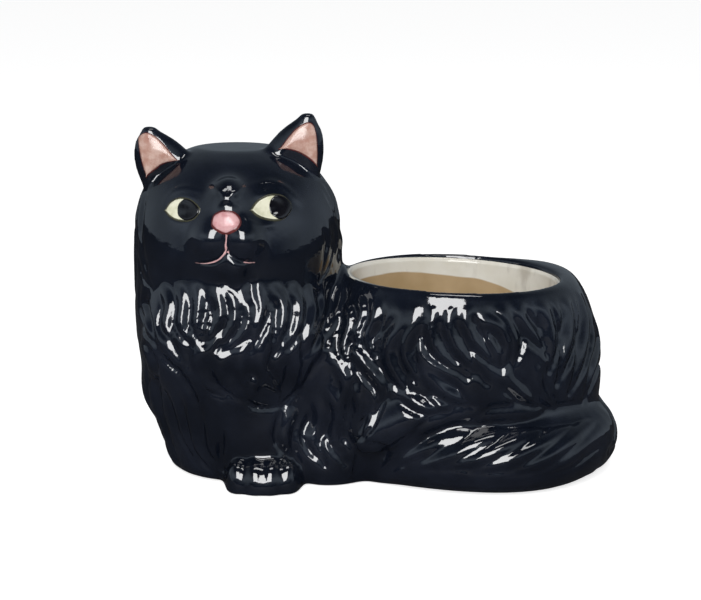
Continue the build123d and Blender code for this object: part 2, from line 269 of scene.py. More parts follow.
def along(table, place):
    """Values of a table at even steps from 0 to 1, read smoothly at any place between them."""
    table = np.asarray(table, float)
    last = len(table) - 1
    place = np.clip(np.asarray(place, float), 0.0, 1.0) * last
    low = np.minimum(place.astype(int), last - 1)
    t = (place - low)[..., None]
    before = table[np.maximum(low - 1, 0)]
    first = table[low]
    second = table[low + 1]
    after = table[np.minimum(low + 2, last)]
    slope_a = (second - before) * 0.5
    slope_b = (after - first) * 0.5
    step = second - first
    bend = slope_a + slope_b - 2 * step
    return first + slope_a * t + (3 * step - 2 * slope_a - slope_b) * t**2 + bend * t**3


def unit(vectors):
    """Vectors of the same direction and length 1."""
    return vectors / np.maximum(np.linalg.norm(vectors, axis=1, keepdims=True), 1e-9)


def smooth_step(value, low, high):
    """0 below low, 1 above high and smooth between them."""
    t = np.clip((value - low) / (high - low), 0.0, 1.0)
    return t * t * (3 - 2 * t)


def least(a, b, blend):
    """The lesser of two fields, with a soft fillet where they meet."""
    near = np.maximum(blend - np.abs(a - b), 0.0) / blend
    return np.minimum(a, b) - near * near * blend * 0.25


def oval_gap(offsets, halves, inmost):
    """About how far places lie outside an oval or an egg with those half sizes."""
    shares = [offset / half for offset, half in zip(offsets, halves)]
    k0 = np.sqrt(sum(share**2 for share in shares))
    k1 = np.sqrt(sum((share / half) ** 2 for share, half in zip(shares, halves))) + 1e-6
    return np.where(k0 < 1e-3, -inmost, k0 * (k0 - 1) / k1)


def tower(
    x, y, base, height, length, depth, shares,
    lean=(0.0, 0.0), grow=0.0, soft=2.0, below=0.0, above=0.0, reach=0.0,
):
    """A form of ovals stacked on even heights. Grow makes each oval larger all round.
    Below and above carry the end sections straight on, and reach is how far out it can lie."""
    table = np.array([(long * length * 0.5, deep * depth * 0.5) for long, deep in shares])
    top = base + height

    def distance(px, py, pz):
        up = (pz - base) / height
        size = along(table, up) + grow
        a, b = np.maximum(size[..., 0], 0.5), np.maximum(size[..., 1], 0.5)
        u = px - x - lean[0] * np.clip(up, 0, 1)
        v = py - y - lean[1] * np.clip(up, 0, 1)
        side = oval_gap((u, v), (a, b), np.minimum(a, b))
        cap = np.maximum(base - below - grow - pz, pz - top - above - grow)
        return -least(-side, -cap, soft)

    reach_x = reach or length * 0.52 + abs(lean[0]) + grow
    reach_y = reach or depth * 0.52 + abs(lean[1]) + grow
    low = (x - reach_x, y - reach_y, base - below - grow)
    high = (x + reach_x, y + reach_y, top + above + grow)
    return low, high, distance


def ball(center, size, turn=(0.0, 0.0, 0.0)):
    """A rounded lump with its three full sizes, turned about X, Y and Z in degrees."""
    axes = np.array(Euler([math.radians(angle) for angle in turn]).to_matrix())
    half = np.array(size) * 0.5

    def distance(px, py, pz):
        d = (px - center[0], py - center[1], pz - center[2])
        turned = [axes[0][i] * d[0] + axes[1][i] * d[1] + axes[2][i] * d[2] for i in range(3)]
        return oval_gap(turned, half, half.min())

    reach = half.max()
    return tuple(c - reach for c in center), tuple(c + reach for c in center), distance


def roll(points, radii):
    """A roll of clay along a line of points, with its radius at each."""
    points = np.asarray(points, float)
    radii = np.asarray(radii, float)

    def distance(px, py, pz):
        best = None
        for a, b, ra, rb in zip(points, points[1:], radii, radii[1:]):
            way = b - a
            t = ((px - a[0]) * way[0] + (py - a[1]) * way[1] + (pz - a[2]) * way[2]) / (way @ way)
            t = np.clip(t, 0, 1)
            gap = np.sqrt(
                (px - a[0] - way[0] * t) ** 2 + (py - a[1] - way[1] * t) ** 2 + (pz - a[2] - way[2] * t) ** 2
            )
            gap = gap - ra - (rb - ra) * t
            best = gap if best is None else np.minimum(best, gap)
        return best

    reach = radii.max()
    return tuple(points.min(0) - reach), tuple(points.max(0) + reach), distance


class Clay:
    """A block of clay as a field on a grid, negative inside the clay."""

    def __init__(self, low, high, grain):
        self.low = np.array(low, float)
        self.grain = grain
        self.axes = [np.arange(a, b + grain, grain) for a, b in zip(low, high)]
        self.field = np.full([len(axis) for axis in self.axes], 40.0, np.float32)

    def around(self, form, blend):
        """The slices of the grid that hold a form with some room to spare, and its own field there."""
        margin = blend + CLAY_MARGIN
        cut = []
        for low, high, start, axis in zip(form[0], form[1], self.low, self.axes):
            first = int(np.clip((low - margin - start) / self.grain, 0, len(axis) - 1))
            last = int(np.clip((high + margin - start) / self.grain + 2, 1, len(axis)))
            cut.append(slice(first, last))
        x, y, z = (axis[part] for axis, part in zip(self.axes, cut))
        return tuple(cut), form[2](x[:, None, None], y[None, :, None], z[None, None, :])

    def press(self, form, blend):
        """Adds a form, with a fillet of about that size where it meets the clay."""
        cut, added = self.around(form, blend)
        self.field[cut] = least(self.field[cut], added, blend)

    def carve(self, form, blend):
        """Takes a form away, with its edge rounded by about that size."""
        cut, taken = self.around(form, blend)
        self.field[cut] = -least(-self.field[cut], taken, blend)

    def at(self, points):
        """The field at any points, read between the grid's."""
        place = (points - self.low) / self.grain
        limit = np.array(self.field.shape) - 2
        cell = np.clip(np.floor(place).astype(int), 0, limit)
        t = np.clip(place - cell, 0, 1)
        total = 0.0
        for corner in range(8):
            bits = np.array([corner & 1, corner >> 1 & 1, corner >> 2 & 1])
            weight = np.prod(np.where(bits, t, 1 - t), axis=1)
            i, j, k = (cell + bits).T
            total = total + weight * self.field[i, j, k]
        return total

    def slope(self, points):
        """The unit direction out of the clay at any points."""
        step = self.grain * 0.75
        parts = []
        for i in range(3):
            move = np.zeros(3)
            move[i] = step
            parts.append(self.at(points + move) - self.at(points - move))
        return unit(np.stack(parts, 1))

    def skin(self):
        """The surface of the clay as points and four-sided faces, one point in each crossed cell."""
        f = self.field
        inside = f < 0
        count = np.zeros([n - 1 for n in f.shape], np.int8)
        shifts = [(i, j, k) for i in (0, 1) for j in (0, 1) for k in (0, 1)]
        size = count.shape

        def shifted(array, i, j, k):
            return array[i : i + size[0], j : j + size[1], k : k + size[2]]

        for s in shifts:
            count += shifted(inside, *s)
        crossed = (count > 0) & (count < 8)
        number = np.full(size, -1, np.int64)
        cells = np.argwhere(crossed)
        number[crossed] = np.arange(len(cells))
        corner = {s: f[tuple((cells + s).T)].astype(float) for s in shifts}
        total = np.zeros((len(cells), 3))
        hits = np.zeros(len(cells))
        for a in shifts:
            for axis in range(3):
                if a[axis] == 0:
                    b = tuple(1 if i == axis else a[i] for i in range(3))
                    fa, fb = corner[a], corner[b]
                    on = (fa < 0) != (fb < 0)
                    t = np.where(on, fa / np.where(on, fa - fb, 1), 0)
                    place = np.tile(np.array(a, float), (len(cells), 1))
                    place[:, axis] += t
                    total += place * on[:, None]
                    hits += on
        points = self.low + (cells + total / hits[:, None]) * self.grain
        faces = []
        for axis in range(3):
            u, v = [i for i in range(3) if i != axis]
            ahead = np.roll(inside, -1, axis)
            change = inside != ahead
            change[tuple(slice(-1, None) if i == axis else slice(None) for i in range(3))] = False
            edges = np.argwhere(change)
            across = edges[:, [u, v]]
            edges = edges[((across > 0) & (across < (size[u], size[v]))).all(1)]
            ring = []
            for du, dv in ((-1, -1), (0, -1), (0, 0), (-1, 0)):
                cell = edges.copy()
                cell[:, u] += du
                cell[:, v] += dv
                ring.append(number[tuple(cell.T)])
            quad = np.stack(ring, 1)
            outward = inside[tuple(edges.T)]
            flip = outward if axis != 1 else ~outward
            quad[~flip] = quad[~flip][:, ::-1]
            faces.append(quad)
        faces = np.concatenate(faces)
        return points, faces[(faces >= 0).all(1)]


# Folds of the face: pressed on or carved in, pixels along it, radius, depth of its middle and blend
FACE_ROLLS = (
    (Clay.carve, ((170, 209), (182, 209), (194, 209)), 7.0, -4.6, 3.0),
    (Clay.carve, ((256, 206), (269, 206), (283, 206)), 7.0, -4.6, 3.0),
    (Clay.press, ((170, 210), (182, 210), (195, 210)), 8.0, 7.0, 1.5),
    (Clay.press, ((256, 208), (269, 207), (284, 207)), 8.0, 7.0, 1.5),
    (Clay.press, ((251, 186), (268, 182), (283, 187), (297, 199), (304, 204)), 2.6, 1.7, 2.0),
    (Clay.press, ((202, 192), (187, 188), (173, 192), (164, 202)), 2.4, 1.7, 2.0),
    (Clay.press, ((243, 217), (250, 222), (260, 226), (274, 225)), 1.8, 1.1, 1.5),
    (Clay.press, ((211, 184), (219, 191), (226, 198)), 2.2, 1.2, 1.5),
    (Clay.press, ((244, 185), (236, 192), (229, 198)), 2.2, 1.2, 1.5),
    (Clay.press, ((219, 205), (226, 199), (238, 206)), 1.8, 1.0, 1.5),
    (Clay.carve, ((225.5, 234), (226, 242), (226.2, 251)), 1.3, 0.3, 0.8),
    (Clay.carve, ((226.2, 250), (223, 256), (216, 261), (207, 263.4), (199, 263)), 1.3, 0.5, 0.8),
    (Clay.carve, ((226.2, 250), (231, 255.6), (238, 260.6), (246, 262.6), (252, 262.4)), 1.3, 0.5, 0.8),
)


def on_head(spread, seat, level):
    """A place on the head: out from the middle of the face, forward from the axis, and up."""
    turn = math.radians(FACE_TURN)
    x = CHEST_X + spread * math.cos(turn) - seat * math.sin(turn)
    y = CHEST_Y - spread * math.sin(turn) - seat * math.cos(turn)
    return (x, y, level)


EARS = {"right": (-110.0, -128.0, 198.5), "left": (-56.5, -39.5, 206.0)}


def ear_form(side, inset=0.0, forward=0.0):
    """One ear, leaning out from its root. An inset form is the space of its dish."""
    root_x, tip_x, tip_level = EARS[side]
    grow = 1 - 2 * inset / EAR_WIDTH
    return tower(
        root_x, EAR_Y - forward, EAR_ROOT, tip_level - EAR_ROOT - inset - EAR_TIP_CUT,
        EAR_WIDTH * grow, EAR_THICKNESS * grow, EAR_SHARES, lean=(tip_x - root_x, 0.0), soft=1.0,
    )


TAIL_LINE = along(np.array(TAIL_SHARES) * (TAIL_X, TAIL_Y, TAIL_RADIUS), np.linspace(0, 1, 45))
TAIL_THICK = TAIL_LINE[:, 2]
TAIL_FORM = roll(TAIL_LINE, TAIL_THICK)
CHEST = (CHEST_X, CHEST_Y, 0, SEAM, *CHEST_SIZE, CHEST_SHARES)
POT = (POT_X, POT_Y, 0, POT_HEIGHT, *POT_SIZE, POT_SHARES)
WAIST = (WAIST_X, WAIST_Y, 0, WAIST_HEIGHT, *WAIST_SIZE, WAIST_SHARES)
CHEST_FORM = tower(*CHEST, above=8.0)
POT_FORM = tower(*POT)
WAIST_FORM = tower(*WAIST, soft=12.0)
HEAD_FORM = tower(CHEST_X, CHEST_Y, SEAM, HEAD_HEIGHT, *HEAD_SIZE, HEAD_SHARES, soft=8.0, below=10.0)


def column_form():
    """The chest and the head as one form, so that nothing shows where they join."""
    levels = np.linspace(0, SEAM + HEAD_HEIGHT, 38)
    chest = along(CHEST_SHARES, levels / SEAM) * CHEST_SIZE
    head = along(HEAD_SHARES, (levels - SEAM) / HEAD_HEIGHT) * HEAD_SIZE
    sizes = np.where((levels < SEAM)[:, None], chest, head)
    for _ in range(2):
        sizes[1:-1] = (sizes[:-2] + 2 * sizes[1:-1] + sizes[2:]) / 4
    height = SEAM + HEAD_HEIGHT
    return tower(CHEST_X, CHEST_Y, 0, height, 1.0, 1.0, sizes, lean=(-1.0, 0.0), soft=8.0, reach=HEAD_REACH)


COLUMN_FORM = column_form()
CUP_HOLE = tower(
    POT_X, POT_Y, HOLE_FLOOR, HOLE_HEIGHT, CUP_LENGTH, CUP_DEPTH, CUP_SHARES,
    grow=HOLE_GAP - CUP_WALL, soft=3.0, above=10.0,
)
RUMP_FORM = ball((90.0, 26.0, 86.0), (62.0, 76.0, 64.0))

# Soft masses of the body: elbow, foreleg, haunch and ruff, each with its center and full sizes
BODY_LUMPS = (
    ((-125.0, -2.0, 49.0), (15.0, 34.0, 26.0)),
    ((-62.0, -33.0, 26.0), (44.0, 28.0, 56.0)),
    ((-28.0, -31.0, 14.0), (40.0, 26.0, 40.0)),
    ((-80.0, -30.5, 82.0), (104.0, 52.0, 76.0)),
)
# How far each toe is from the middle of the paw
TOES = (-14.5, -5.0, 4.5, 13.5)

# Muzzle, chin and bridge of the nose: spread, seat, level, full sizes and blend of each mass
FACE_LUMPS = (
    (-8.5, 51, 142, (22, 22, 24), 6.0),
    (8.5, 51, 142, (22, 22, 24), 6.0),
    (0, 49, 128, (24, 22, 17), 7.0),
    (0, 44, 158, (22, 22, 34), 10.0),
)

PAW_FORM = ball((PAW_X, -36.5, 3.0), (46.0, 45.0, 35.0))
FOOT_FORM = ball((22.0, -47.5, 44.0), (78.0, 20.0, 26.0), (0.0, -27.0, 0.0))


def above_rim(px, py, pz):
    """Height over the sloping plane of the rim."""
    tilt = math.radians(RIM_TILT)
    return (px - POT_X) * math.sin(tilt) + (pz - RIM_HEIGHT) * math.cos(tilt)


def shape_cat():
    """The whole cat in one block of clay, before its fur is combed."""
    clay = Clay(CLAY_LOW, CLAY_HIGH, GRAIN)
    clay.press(POT_FORM, 1.0)
    clay.press(RUMP_FORM, 12.0)
    over_rim = ((-30, -90, 90), (150, 90, 220), lambda x, y, z: LIP_HEIGHT - above_rim(x, y, z))
    clay.carve(over_rim, 4.0)
    clay.press(WAIST_FORM, 14.0)
    clay.press(COLUMN_FORM, 10.0)
    for center, size in BODY_LUMPS:
        clay.press(ball(center, size), 9.0)
    clay.press(TAIL_FORM, 5.0)
    clay.press(FOOT_FORM, 5.0)
    clay.press(PAW_FORM, 4.0)
    for spread in TOES:
        clay.press(ball((PAW_X + spread, TOE_Y + abs(spread) * 0.22, TOE_HEIGHT), TOE_SIZE), 3.0)
    for side in EARS:
        clay.press(ear_form(side), 3.0)
        tip_x, tip_level = EARS[side][1:]
        clay.press(ball((tip_x, EAR_Y, tip_level - EAR_TIP_DROP), EAR_TIP), 1.5)
        clay.carve(ear_form(side, EAR_EDGE, EAR_DISH), 2.0)
    clay.press(COLUMN_FORM, 0.3)
    for spread, seat, level, size, blend in FACE_LUMPS:
        clay.press(ball(on_head(spread, seat, level), size), blend)
    for work, pixels, radius, depth, blend in FACE_ROLLS:
        places = onto_clay(clay, pixels)
        places = places - clay.slope(places) * depth
        line = along(places, np.linspace(0, 1, 4 * len(pixels)))
        taper = 0.25 + 0.75 * np.sin(np.linspace(0.12, math.pi - 0.12, len(line)))
        work(clay, roll(line, radius * taper), blend)
    clay.carve(CUP_HOLE, 3.0)
    for body in (CHEST, POT, WAIST):
        low, high, inside = tower(*body, grow=-FOOT_WALL, below=20.0)
        space = (low, (*high[:2], 8.0), lambda px, py, pz: np.maximum(inside(px, py, pz), pz - FOOT_SPACE))
        clay.carve(space, 0.6)
    table = ((-200, -100, -20), (200, 100, 2), lambda x, y, z: z + 0 * x + 0 * y)
    clay.carve(table, 2.0)
    return clay


# Where the photograph's camera stands, and its directions
PITCH_SIN, PITCH_COS = math.sin(math.radians(PITCH)), math.cos(math.radians(PITCH))
VIEW = np.array([0.0, PITCH_COS, -PITCH_SIN])
RIGHT = np.array([1.0, 0.0, 0.0])
UP = np.array([0.0, PITCH_SIN, PITCH_COS])
EYE = TARGET - VIEW * DISTANCE
FOCAL = PHOTO_WIDTH * LENS / SENSOR
NEAR_SIDE = 110.0


def onto_clay(clay, pixels):
    """The places on the clay that the photograph shows at some pixels, or nearest to them."""
    from_middle = (np.asarray(pixels, float) - (PHOTO_WIDTH / 2, PHOTO_HEIGHT / 2)) / FOCAL
    ways = unit(VIEW + RIGHT * from_middle[:, :1] - UP * from_middle[:, 1:])
    place = EYE + ways * (DISTANCE - NEAR_SIDE)
    best = place.copy()
    least_gap = np.full(len(place), FAR)
    for _ in range(150):
        gap = clay.at(place)
        better = gap < least_gap
        best[better] = place[better]
        least_gap = np.minimum(gap, least_gap)
        place += ways * np.clip(gap * 0.6, 0.0, 2.5)[:, None]
    return settle(clay, best)


def settle(clay, places):
    """Moves places to the skin of the clay, straight out of it or into it."""
    for _ in range(5):
        places = places - clay.slope(places) * np.clip(clay.at(places), -2, 2)[:, None]
    return places


def flow(places, out):
    """The way the fur lies at each place: down the body, back along the flanks, round the tail."""
    way = np.tile(np.array([0.0, 0.0, -1.0]), (len(places), 1))
    back = smooth_step(places[:, 0], -40, 10) * (1 - smooth_step(places[:, 0], 85, 115))
    way[:, 0] = 0.55 * back * smooth_step(places[:, 2], 25, 60)
    ring = TAIL_LINE[:, None, :] - places[None, :, :]
    gap = np.linalg.norm(ring, axis=2)
    nearest = gap.argmin(0)
    after = TAIL_LINE[np.minimum(nearest + 1, len(TAIL_LINE) - 1)]
    ahead = unit(after - TAIL_LINE[np.maximum(nearest - 1, 0)])
    on_tail = (gap.min(0) < TAIL_THICK[nearest] + 2.5)[:, None]
    way = np.where(on_tail, ahead * 0.8 + way * 0.55, way)
    return unit(way - out * (way * out).sum(1, keepdims=True))


def scatter(places, ways, across, ahead):
    """Picks places so that no two are too near, side by side or one behind the other."""
    kept = []
    for i in rng.permutation(len(places))[:5000]:
        if kept:
            gap = places[kept] - places[i]
            far = gap @ ways[i]
            side = np.sqrt(np.maximum((gap * gap).sum(1) - far * far, 0))
            if ((side / across) ** 2 + (far / ahead) ** 2).min() < 1:
                continue
        kept.append(i)
    return kept


def grow_locks(clay, places, length, curl):
    """Locks that start at some places and lie along the fur, each with an S bend of its own."""
    steps = 9
    lines = [places]
    phase = rng.uniform(0, 2 * math.pi, len(places))
    swing = rng.uniform(0.5, 1.0, len(places)) * curl
    length = length * rng.uniform(0.8, 1.2, len(places))
    for step in range(steps - 1):
        here = lines[-1]
        out = clay.slope(here)
        way = flow(here, out)
        turn = (swing * np.sin(phase + 5.2 * step / steps))[:, None]
        way = way * np.cos(turn) + np.cross(out, way) * np.sin(turn)
        lines.append(settle(clay, here + way * (length / (steps - 1))[:, None]))
    return np.stack(lines, 1)


def comb(clay, places, out, locks):
    """How far the fur stands up at each place, and how deep its grooves are there.
    A lock is its line, half width and height."""
    height = np.zeros(len(places))
    groove = np.zeros(len(places))
    for line, wide, lift in locks:
        line = along(line, np.linspace(0, 1, 12))
        reach = wide * 1.05
        near = np.flatnonzero(((places > line.min(0) - reach) & (places < line.max(0) + reach)).all(1))
        if not len(near):
            continue
        here, normal = places[near], out[near]
        gap = np.full(len(near), FAR)
        where = np.zeros(len(near))
        for n in range(11):
            a, way = line[n], line[n + 1] - line[n]
            size = max(way @ way, 1e-6)
            t = np.clip(((here - a) @ way) / size, 0, 1)
            off = here - a - way * t[:, None]
            far = np.linalg.norm(off, axis=1)
            closer = far < gap
            gap = np.where(closer, far, gap)
            where = np.where(closer, (n + t) / 11, where)
        width = wide * np.sqrt(np.clip(where * 4.0 + 0.25, 0, 1)) * (1 - smooth_step(where, 0.55, 1.0) * 0.8)
        across = gap / width
        facing = (normal * clay.slope(line[5:6])).sum(1) > 0.1
        ridge = (1 - smooth_step(across, 0.0, 1.05)) * facing
        rise = smooth_step(where, -0.02, 0.45) * (1 - 0.35 * smooth_step(where, 0.6, 1.0))
        stand = lift * rise * ridge
        wins = stand > height[near]
        height[near[wins]] = stand[wins]
        groove[near[wins]] = (lift * smooth_step(where, 0.05, 0.5))[wins]
    return height, groove


def even(count, polys, values, rounds):
    """Softens values over the mesh, each place with its neighbours."""
    a = polys.ravel()
    b = np.roll(polys, -1, axis=1).ravel()
    ties = np.bincount(a, minlength=count) + np.bincount(b, minlength=count)
    for _ in range(rounds):
        sums = [np.bincount(a, v[b], count) + np.bincount(b, v[a], count) for v in values]
        values = [(v + total / np.maximum(ties, 1)) * 0.5 for v, total in zip(values, sums)]
    return values


# The fur that the photograph doesn't show: gaps between locks, length, bend, half widths and heights
WILD_GAPS = (10.5, 28.0)
WILD_LENGTH = 44.0
WILD_BEND = 0.6
WILD_HALF_WIDTHS = (6.5, 8.5)
WILD_HEIGHTS = (2.6, 3.4)
FUR_LEVELS = (6, 178)
GROOVE_SHARE = 0.8


def drawn_locks():
    """The locks that the photograph shows."""
    heights = ((CHEST_LOCKS, 4.0), (FLANK_LOCKS, 4.0), (TAIL_LOCKS, 2.4), (CHEEK_LOCKS, 1.7))
    return [
        (onto_clay(clay, pixels), width * HALF_WIDTH_SHARE, lift)
        for table, lift in heights
        for width, *pixels in table
    ]


def wild_locks(places, out, in_well):
    """Locks over the sides that the photograph doesn't show."""
    z = places[:, 2]
    low, high = FUR_LEVELS
    furry = (z > low) & (z < high) & (out[:, 2] < 0.75) & ~in_well & (out @ -VIEW < 0.12)
    places, out = places[furry], out[furry]
    seeds = places[scatter(places, flow(places, out), *WILD_GAPS)]
    lines = grow_locks(clay, seeds, WILD_LENGTH, WILD_BEND)
    return [(line, rng.uniform(*WILD_HALF_WIDTHS), rng.uniform(*WILD_HEIGHTS)) for line in lines]


def furry_skin():
    """The skin of the clay with its fur combed: points and four-sided faces."""
    places, polys = clay.skin()
    for _ in range(3):
        places -= clay.slope(places) * clay.at(places)[:, None] * 0.9
    out = clay.slope(places)
    in_well = (np.abs(CUP_HOLE[2](*places.T)) < 1.5) & (places[:, 0] > POT_X - 70)
    locks = drawn_locks() + wild_locks(places, out, in_well)
    fur, groove = comb(clay, places, out, locks)
    rim_gap = np.abs(above_rim(*places.T))
    hold = np.where(places[:, 0] > -25, smooth_step(rim_gap, 2, 9), 1)
    hold = hold * smooth_step(places[:, 2], 1, 8) * ~in_well
    fur, groove = even(len(places), polys, [fur * hold, groove * hold], 5)
    places = places + out * (fur - GROOVE_SHARE * groove)[:, None]
    return np.stack(even(len(places), polys, list(places.T), 4), 1), polys


clay = shape_cat()
points, faces = furry_skin()


class Value:
    """A shader socket that can be added, subtracted and multiplied like a number."""

    def __init__(self, paint, socket):
        self.paint = paint
        self.socket = socket

    def math(self, kind, *others):
        """One Math node on some values."""
        node = self.paint.tree.nodes.new("ShaderNodeMath")
        node.operation = kind
        for slot, item in zip(node.inputs, others):
            self.paint.feed(slot, item)
        return Value(self.paint, node.outputs[0])

    def __add__(self, other):
        return self.math("ADD", self, other)

    def __radd__(self, other):
        return self.math("ADD", other, self)

    def __sub__(self, other):
        return self.math("SUBTRACT", self, other)

    def __rsub__(self, other):
        return self.math("SUBTRACT", other, self)

    def __mul__(self, other):
        return self.math("MULTIPLY", self, other)

    def __rmul__(self, other):
        return self.math("MULTIPLY", other, self)

    def band(self, low, high):
        """0 below low and 1 above high."""
        limits = {"Value": self, "From Min": low, "From Max": high}
        return self.paint.node("MapRange", {"interpolation_type": "SMOOTHSTEP"}, limits)


class Paint:
    """A material and the nodes of its colour."""

    def __init__(self, name, color, roughness, ior=1.5):
        self.material = bpy.data.materials.new(name)
        self.material.use_nodes = True
        self.tree = self.material.node_tree
        self.shader = self.tree.nodes["Principled BSDF"]
        self.shader.inputs["Base Color"].default_value = (*color, 1)
        self.shader.inputs["Roughness"].default_value = roughness
        self.shader.inputs["IOR"].default_value = ior

    def feed(self, slot, item):
        """Links a value to a socket, or sets the socket to a number or a colour."""
        if isinstance(item, Value):
            self.tree.links.new(item.socket, slot)
        elif isinstance(item, tuple) and len(item) == 3 and slot.type == "RGBA":
            slot.default_value = (*item, 1)
        else:
            slot.default_value = item

    def node(self, kind, settings=None, sockets=None, output=0):
        """Any other node: its type, its settings first, then the values and links of its sockets."""
        node = self.tree.nodes.new("ShaderNode" + kind)
        for key, value in (settings or {}).items():
            setattr(node, key, value)
        for key, item in (sockets or {}).items():
            self.feed(node.inputs[key], item)
        return Value(self, node.outputs[output])

    def place(self):
        """Where a point of the surface is on the piece, in metres."""
        return self.node("TexCoord", output=3)

    def parts(self, vector):
        """The three coordinates of a vector."""
        first = self.node("SeparateXYZ", None, {"Vector": vector})
        return [Value(self, socket) for socket in first.socket.node.outputs]

    def noise(self, scale, detail=3.0, stretch=(1, 1, 1), rough=0.5):
        spot = self.node("Mapping", None, {"Vector": self.place(), "Scale": stretch})
        sockets = {"Vector": spot, "Scale": scale, "Detail": detail, "Roughness": rough}
        return self.node("TexNoise", None, sockets)

    def blend(self, share, first, second):
        """One colour turning into another."""
        return self.node("Mix", {"data_type": "RGBA"}, {0: share, 6: first, 7: second}, output=2)

    def pick(self, share, first, second):
        """One number turning into another."""
        return self.node("Mix", None, {0: share, 2: first, 3: second})

    def use(self, socket, item):
        self.feed(self.shader.inputs[socket], item)

    def bump(self, height, strength, distance):
        """Small relief under the gloss."""
        relief = self.node("Bump", None, {"Height": height, "Strength": strength, "Distance": distance})
        self.use("Normal", relief)


# The edge of the painted shadow in the well, where the front rim's shade falls as darker tan on the lower
# wall, in metres: its level, softness, shift along the well, bow and waves
RIM_SHADOW_LEVEL = 0.1036
RIM_SHADOW_EDGE = 0.0010
RIM_SHADOW_SHIFT = 0.007
RIM_SHADOW_BOW = 1.3
RIM_SHADOW_WAVES = 0.008


def make_black():
    """Blue-black glaze, a little uneven in its colour and its gloss."""
    paint = Paint("black glaze", (0.005, 0.006, 0.010), 0.07, 1.7)
    clouds = paint.noise(38.0, 4.0)
    glaze = paint.blend(clouds.band(0.35, 0.7), (0.0034, 0.0050, 0.0095), (0.0075, 0.0100, 0.0175))
    paint.use("Base Color", glaze)
    paint.use("Roughness", paint.noise(90.0, 2.0).band(0.4, 0.8) * 0.06 + 0.045)
    paint.bump(paint.noise(260.0, 2.0) + paint.noise(90.0, 1.0) * 2.0, 0.12, 0.0006)
    return paint.material


def make_cream():
    """Cream glaze with a painted shadow of the front rim as darker tan in the lower well, a wavy edge between
    them and a few grey runs.
    """
    paint = Paint("cream glaze", (0.78, 0.75, 0.67), 0.16)
    across, _, high = paint.parts(paint.place())
    across = across + RIM_SHADOW_SHIFT
    level = high + across * across * RIM_SHADOW_BOW + (paint.noise(22.0, 2.0) - 0.5) * RIM_SHADOW_WAVES
    # Painted shadow: the well turns tan below a wavy level, where the front rim's shade falls.
    tan = 1.0 - level.band(RIM_SHADOW_LEVEL, RIM_SHADOW_LEVEL + RIM_SHADOW_EDGE)
    runs = paint.noise(62.0, 4.0, (1.0, 1.0, 0.35), 0.6)
    base = paint.blend(paint.noise(55.0, 3.0).band(0.3, 0.75), (0.78, 0.76, 0.69), (0.70, 0.67, 0.58))
    stained = paint.blend(runs.band(0.56, 0.72) * 0.5, base, (0.36, 0.32, 0.27))
    # The painted shadow's colour, a mottled darker tan.
    rim_shadow_tan = paint.blend(paint.noise(40.0, 3.0).band(0.35, 0.7), (0.46, 0.335, 0.195), (0.38, 0.27, 0.145))
    paint.use("Base Color", paint.blend(tan, stained, rim_shadow_tan))
    paint.bump(paint.noise(120.0, 2.0), 0.15, 0.0006)
    return paint.material


def make_pink():
    """Pale pink brushed over cream, dustier in random patches."""
    paint = Paint("pink glaze", (0.66, 0.42, 0.38), 0.14)
    mottle = paint.noise(150.0, 4.0, rough=0.7)
    first = paint.blend(mottle.band(0.34, 0.66), (0.54, 0.38, 0.325), (0.40, 0.225, 0.18))
    worn = paint.noise(75.0, 2.0).band(0.5, 0.75) * 0.5
    paint.use("Base Color", paint.blend(worn, first, (0.38, 0.20, 0.16)))
    paint.bump(mottle, 0.2, 0.0004)
    return paint.material


def make_thin(name, first, second, roughness, ior=1.5, scale=200.0, low=0.35, high=0.7):
    """A thin brushed glaze that is a little uneven in its colour."""
    paint = Paint(name, first, roughness, ior)
    paint.use("Base Color", paint.blend(paint.noise(scale).band(low, high), first, second))
    return paint.material


def make_bisque():
    """Unglazed clay under the foot, sandy and a little stained."""
    paint = Paint("bare bisque", (0.66, 0.58, 0.48), 0.85)
    grain = paint.noise(420.0, 4.0, rough=0.7)
    paint.use("Base Color", paint.blend(grain.band(0.3, 0.7), (0.70, 0.63, 0.53), (0.58, 0.49, 0.39)))
    paint.bump(grain, 0.3, 0.0004)
    return paint.material


BLACK = make_black()
CREAM = make_cream()
PINK = make_pink()
NOSE = make_thin("nose glaze", (0.64, 0.38, 0.385), (0.53, 0.25, 0.26), 0.22, scale=260.0)
EYE_GLAZE = make_thin(
    "eye glaze", (0.72, 0.71, 0.56), (0.55, 0.55, 0.38), 0.10, scale=240.0, low=0.4, high=0.8
)
MOUTH_GLAZE = make_thin("mouth glaze", (0.62, 0.37, 0.37), (0.50, 0.27, 0.27), 0.5)
PUPIL = make_thin("pupil glaze", (0.003, 0.003, 0.005), (0.006, 0.006, 0.008), 0.05, 1.6)
OLIVE = make_thin("olive line", (0.060, 0.060, 0.038), (0.038, 0.038, 0.024), 0.12)
MAROON = make_thin("maroon line", (0.12, 0.026, 0.026), (0.08, 0.018, 0.018), 0.15)
BISQUE = make_bisque()


def dress(name, verts, polys, node, material, vertex_normals=None):
    """A finished piece: its mesh in metres, its place on the planter, its node, slot and material."""
    mesh = bpy.data.meshes.new(name)
    mesh.from_pydata((np.asarray(verts) * MM).tolist(), [], polys)
    mesh.shade_smooth()
    if vertex_normals is not None:
        mesh.normals_split_custom_set_from_vertices(vertex_normals.tolist())
    piece = bpy.data.objects.new(name, mesh)
    bpy.context.scene.collection.objects.link(piece)
    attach(piece, "root")
    if node:
        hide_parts(node)
    mesh.materials.append(material)
    return piece


def skin_normals(count, places, polys):
    """The normal of each vertex of the whole skin, so that no seam shows between its pieces."""
    a, b, c, d = (places[polys[:, i]] for i in range(4))
    face = np.cross(c - a, d - b)
    sums = [sum(np.bincount(polys[:, i], face[:, axis], count) for i in range(4)) for axis in range(3)]
    return unit(np.stack(sums, 1))


TORSO, HEAD, TAIL, PAW, HINDFOOT, RIGHT_EAR, LEFT_EAR = range(7)

